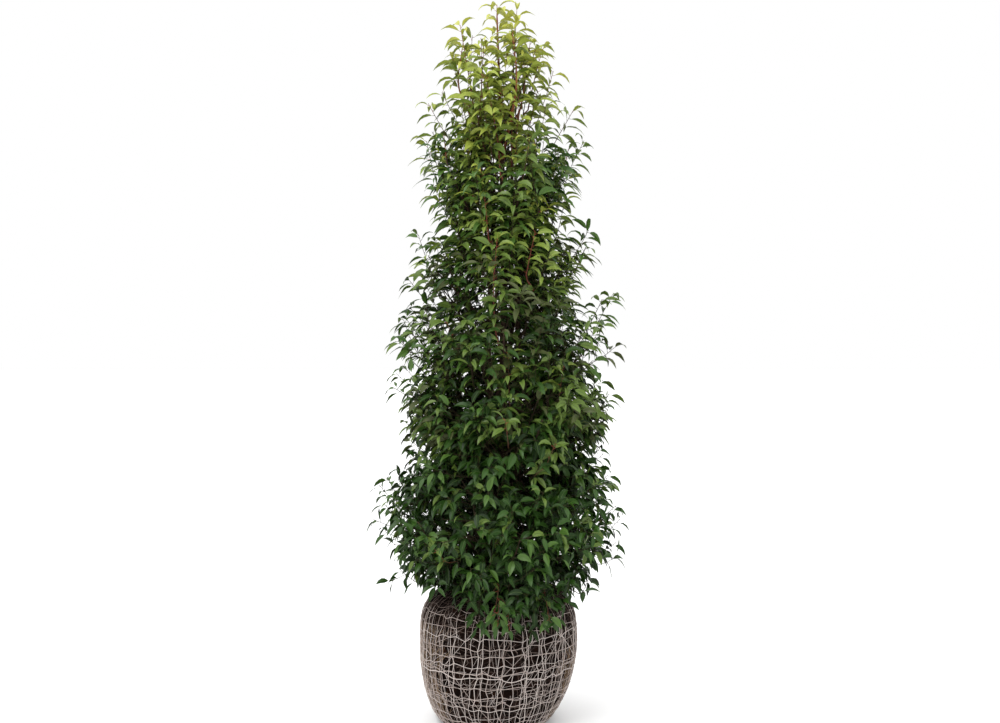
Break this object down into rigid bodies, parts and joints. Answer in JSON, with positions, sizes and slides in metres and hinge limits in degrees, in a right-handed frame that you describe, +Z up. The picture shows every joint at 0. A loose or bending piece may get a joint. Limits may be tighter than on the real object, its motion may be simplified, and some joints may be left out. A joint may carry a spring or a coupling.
{
  "type": "columnar portugal laurel on a net-wrapped root ball",
  "caption": "Tall columnar evergreen shrub with upright stems and narrow drooping leaves, standing on a rounded root ball wrapped in open jute net.",
  "frame": {"origin": "on the flat underside of the root ball, under the foot of the trunk", "axes": "+Z up along the trunk, -Y the front that the picture shows, +X the picture's right"},
  "size_m": [0.8892, 0.8313, 2.5444],
  "materials": {
    "leaf": "satin",
    "young_leaf": "satin",
    "bark": "matte",
    "wrapped_soil": "matte"
  },
  "bodies": {
    "root": {"root_ball": "wrapped_soil", "trunk": "bark", "bough_skirt_1": "bark", "bough_skirt_2": "bark", "bough_skirt_3": "bark", "bough_skirt_4": "bark", "bough_skirt_5": "bark", "bough_skirt_6": "bark", "bough_lower_1": "bark", "bough_lower_2": "bark", "bough_lower_3": "bark", "bough_lower_4": "bark", "bough_lower_5": "bark", "bough_middle_1": "bark", "bough_middle_2": "bark", "bough_middle_3": "bark", "bough_middle_4": "bark", "bough_middle_5": "bark", "bough_waist_1": "bark", "bough_waist_2": "bark", "bough_waist_3": "bark", "bough_waist_4": "bark", "bough_upper_1": "bark", "bough_upper_2": "bark", "bough_upper_3": "bark", "bough_upper_4": "bark", "bough_crown_1": "bark", "bough_crown_2": "bark", "bough_crown_3": "bark", "foliage_skirt_1": "leaf", "foliage_skirt_2": "leaf", "foliage_skirt_3": "leaf", "foliage_skirt_4": "leaf", "foliage_skirt_5": "leaf", "foliage_skirt_6": "leaf", "foliage_lower_1": "leaf", "foliage_lower_2": "leaf", "foliage_lower_3": "leaf", "foliage_lower_4": "leaf", "foliage_lower_5": "leaf", "foliage_middle_1": "leaf", "foliage_middle_2": "leaf", "foliage_middle_3": "leaf", "foliage_middle_4": "leaf", "foliage_middle_5": "leaf", "foliage_waist_1": "leaf", "foliage_waist_2": "leaf", "foliage_waist_3": "leaf", "foliage_waist_4": "leaf", "foliage_upper_1": "leaf", "foliage_upper_2": "leaf", "foliage_upper_3": "leaf", "foliage_upper_4": "leaf", "foliage_crown_1": "young_leaf", "foliage_crown_2": "young_leaf", "foliage_crown_3": "young_leaf", "foliage_leader_tuft": "young_leaf"}
  },
  "joints": []
}
